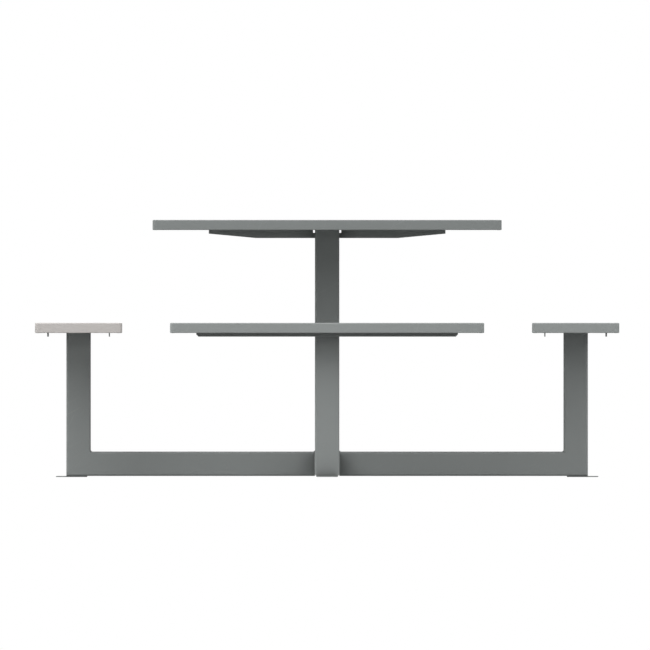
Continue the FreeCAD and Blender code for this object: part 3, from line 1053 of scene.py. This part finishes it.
def bench_welds():
    """The welds of one bench and its post, on the right."""
    solid = Solid()
    post_low, post_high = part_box("right_post")
    half = (post_high.x - post_low.x) / 2
    flat = half - TUBE_ROUND
    centre = post_low.x + half
    beam_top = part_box("floor_beam_right")[1].z
    straight_bead(solid, (post_low.x, -flat, beam_top), (post_low.x, flat, beam_top),
                  (-SHOWN_WELD, 0, 0), (0, 0, SHOWN_WELD))
    bead_round_tube(solid, centre, half, post_high.z, HIDDEN_WELD, rise=-1)

    # The foot plate is welded along its sides, where it steps in under the tube
    foot_low, foot_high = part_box("right_foot_plate")
    for face in (foot_low.y, foot_high.y):
        out = math.copysign(FOOT_WELD, face)
        straight_bead(solid, (foot_low.x + FOOT_ROUND, face, foot_high.z),
                      (post_high.x - FOOT_ROUND, face, foot_high.z),
                      (0, out, 0), (0, 0, -FOOT_WELD))

    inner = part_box("right_inner_rib")[1].x
    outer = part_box("right_outer_rib")[0].x
    for node in ("right_head_plate", "right_crossbar_front", "right_crossbar_back"):
        low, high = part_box(node)
        start, end = low.y + BROKEN_EDGE, high.y - BROKEN_EDGE
        for face, out in ((inner, 1), (outer, -1)):
            straight_bead(solid, (face, start, low.z), (face, end, low.z),
                          (out * SHOWN_WELD, 0, 0), (0, 0, -SHOWN_WELD))
    return solid


def weld_benches():
    solid = bench_welds()
    for side, angle in SIDES.items():
        add_welds(side + "_bench_weld_beads", solid.turned(angle))


def weld_stiffeners():
    """Stitches between the channels' flanges and the deck."""
    low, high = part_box("table_stiffener_back")
    count = int((high.x - low.x) / STITCH_SPACING)
    solid = Solid()
    for index in range(count + 1):
        middle = (index - count / 2) * STITCH_SPACING
        start, end = middle - STITCH_LENGTH / 2, middle + STITCH_LENGTH / 2
        for face, out in ((low.y, -1), (high.y, 1)):
            straight_bead(solid, (start, face, high.z), (end, face, high.z),
                          (0, out * SHOWN_WELD, 0), (0, 0, -SHOWN_WELD))
    solid.add(solid.turned(180))
    add_welds("stiffener_weld_beads", solid, "table_coat_grey")


def lip_seams(low, high):
    """Dressed seams where the lips of a tray meet at its four corners."""
    solid = Solid()
    inner, outer = LIP, SEAM_OUTER_END
    for corner_x, side_x in ((low.x, 1), (high.x, -1)):
        for corner_y, side_y in ((low.y, 1), (high.y, -1)):
            start = (corner_x + side_x * inner, corner_y + side_y * inner, low.z)
            end = (corner_x + side_x * outer, corner_y + side_y * outer, low.z)
            across = Vector((side_x, -side_y, 0)).normalized() * SEAM_WIDTH
            straight_bead(solid, start, end, across, (0, 0, -SEAM_HEIGHT), SEAM)
    return solid


def weld_trays():
    add_welds("table_top_lip_seams", lip_seams(*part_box("table_top")), "table_coat_grey")
    seams = lip_seams(*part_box("right_seat"))
    for side, angle in SIDES.items():
        add_welds(side + "_seat_lip_seams", seams.turned(angle), seat_coat(side))


# ---------------------------------------------------------------- camera, floor and light

# The view in pixels: its side, the column's axis from its left and the floor from its top
VIEW_SIDE = 650
COLUMN_PIXEL = 327.125
FLOOR_PIXEL = 477.0
METRES_PER_PIXEL = 2.8647 * MM
CAMERA_DISTANCE = 6.0

# The floor throws back FLOOR_LIGHT of the light on to the table. To the eye it throws back
# FLOOR_SHOWN and glows with FLOOR_GLOW, which come to about white near the table.
FLOOR_SIDE = 60.0
FLOOR_LIGHT = 0.5
FLOOR_SHOWN = 0.38
FLOOR_GLOW = 0.62

WORLD_LEVEL = 0.03
AIM = Vector((0, 0, 0.35))

# Soft boxes: degrees to the right of the front, degrees up, distance and side in metres, and
# the level, of which 1 renders the colour of a surface that faces the lamp as it is written
LAMPS = {
    "front_left_soft_box": (-15, 30, 4.0, 2.6, 0.18),
    "high_left_soft_box": (-45, 45, 4.0, 2.6, 0.54),
    "side_left_soft_box": (-75, 20, 3.0, 1.5, 0.19),
    "front_right_soft_box": (20, 45, 4.0, 2.6, 0.21),
    "side_right_soft_box": (65, 30, 4.0, 2.6, 0.39),
    "back_soft_box": (165, 45, 4.0, 2.6, 0.35),
}


def make_camera():
    """A level camera without perspective, square on to the front bench."""
    data = bpy.data.cameras.new("elevation_camera")
    data.type = "ORTHO"
    data.ortho_scale = VIEW_SIDE * METRES_PER_PIXEL
    camera = bpy.data.objects.new("elevation_camera", data)
    camera.location = ((VIEW_SIDE / 2 - COLUMN_PIXEL) * METRES_PER_PIXEL, -CAMERA_DISTANCE,
                       (FLOOR_PIXEL - VIEW_SIDE / 2) * METRES_PER_PIXEL)
    camera.rotation_euler = (math.radians(90), 0, 0)
    bpy.context.scene.collection.objects.link(camera)
    bpy.context.scene.camera = camera


def seen_directly(tree):
    """1 for rays from the camera, a mirror or glass, and 0 for the light on the object."""
    rays = tree.nodes.new("ShaderNodeLightPath").outputs
    either = math_node(tree, "MAXIMUM", rays["Is Camera Ray"], rays["Is Glossy Ray"])
    return math_node(tree, "MAXIMUM", either, rays["Is Transmission Ray"])


def make_floor():
    """A pale floor that shows white, keeps the shadow of the table and is clear from below."""
    material = bpy.data.materials.new("pale_floor")
    material.use_nodes = True
    tree = material.node_tree
    tree.nodes.clear()
    plain = add_node(tree, "ShaderNodeBsdfDiffuse", {"Color": even_grey(FLOOR_LIGHT)})
    shown = add_node(tree, "ShaderNodeBsdfDiffuse", {"Color": even_grey(FLOOR_SHOWN)})
    glow = add_node(tree, "ShaderNodeEmission", {"Color": WHITE, "Strength": FLOOR_GLOW})
    bright = add_node(tree, "ShaderNodeAddShader", {0: shown.outputs[0], 1: glow.outputs[0]})
    mixed = add_node(tree, "ShaderNodeMixShader",
                     {0: seen_directly(tree), 1: plain.outputs[0], 2: bright.outputs[0]})
    clear = tree.nodes.new("ShaderNodeBsdfTransparent").outputs[0]
    from_below = tree.nodes.new("ShaderNodeNewGeometry").outputs["Backfacing"]
    either = add_node(tree, "ShaderNodeMixShader", {0: from_below, 1: mixed.outputs[0], 2: clear})
    output = tree.nodes.new("ShaderNodeOutputMaterial")
    tree.links.new(either.outputs[0], output.inputs["Surface"])
    mesh = bpy.data.meshes.new("pale_floor")
    half = FLOOR_SIDE / 2
    mesh.from_pydata([(-half, -half, 0), (half, -half, 0), (half, half, 0), (-half, half, 0)],
                     [], [(0, 1, 2, 3)])
    mesh.materials.append(material)
    floor = bpy.data.objects.new("pale_floor", mesh)
    bpy.context.scene.collection.objects.link(floor)
    # With no shadow of its own, the floor isn't counted by corner_shade as a piece nearby
    floor.visible_shadow = False


def make_world():
    """White where it is seen, and soft even light on the object."""
    world = bpy.data.worlds.new("studio")
    world.use_nodes = True
    tree = world.node_tree
    tree.nodes.clear()
    soft = add_node(tree, "ShaderNodeBackground", {"Color": WHITE, "Strength": WORLD_LEVEL})
    white = add_node(tree, "ShaderNodeBackground", {"Color": WHITE, "Strength": 1.0})
    mixed = add_node(tree, "ShaderNodeMixShader",
                     {0: seen_directly(tree), 1: soft.outputs[0], 2: white.outputs[0]})
    output = tree.nodes.new("ShaderNodeOutputWorld")
    tree.links.new(mixed.outputs[0], output.inputs["Surface"])
    bpy.context.scene.world = world


def make_lamps():
    for name, (right, up, distance, side, level) in LAMPS.items():
        data = bpy.data.lights.new(name, "AREA")
        data.shape = "SQUARE"
        data.size = side
        data.energy = level * (math.pi * distance) ** 2
        lamp = bpy.data.objects.new(name, data)
        turn, tilt = math.radians(right), math.radians(up)
        away = Vector((math.sin(turn) * math.cos(tilt), -math.cos(turn) * math.cos(tilt),
                       math.sin(tilt)))
        lamp.location = AIM + away * distance
        lamp.rotation_euler = away.to_track_quat("Z", "Y").to_euler()
        lamp.visible_camera = False
        bpy.context.scene.collection.objects.link(lamp)


# ---------------------------------------------------------------- the whole table

bpy.context.scene.view_settings.view_transform = "Standard"
make_camera()

make_floor_beams()
make_column()
make_posts()
make_foot_plates()
make_trays()
make_table_frame()
make_stiffeners()
make_ribs()
make_bench_bars()
left_bar_studs = [(-x, y) for x, y in table_bar_studs()]
make_fasteners("table", column_studs() + table_bar_studs() + left_bar_studs, turns=[0])
bench_studs = head_plate_studs() + crossbar_studs("front") + crossbar_studs("back")
make_fasteners("bench", bench_studs, turns=SIDES.values())
weld_frame()
weld_benches()
weld_stiffeners()
weld_trays()

make_floor()
make_world()
make_lamps()
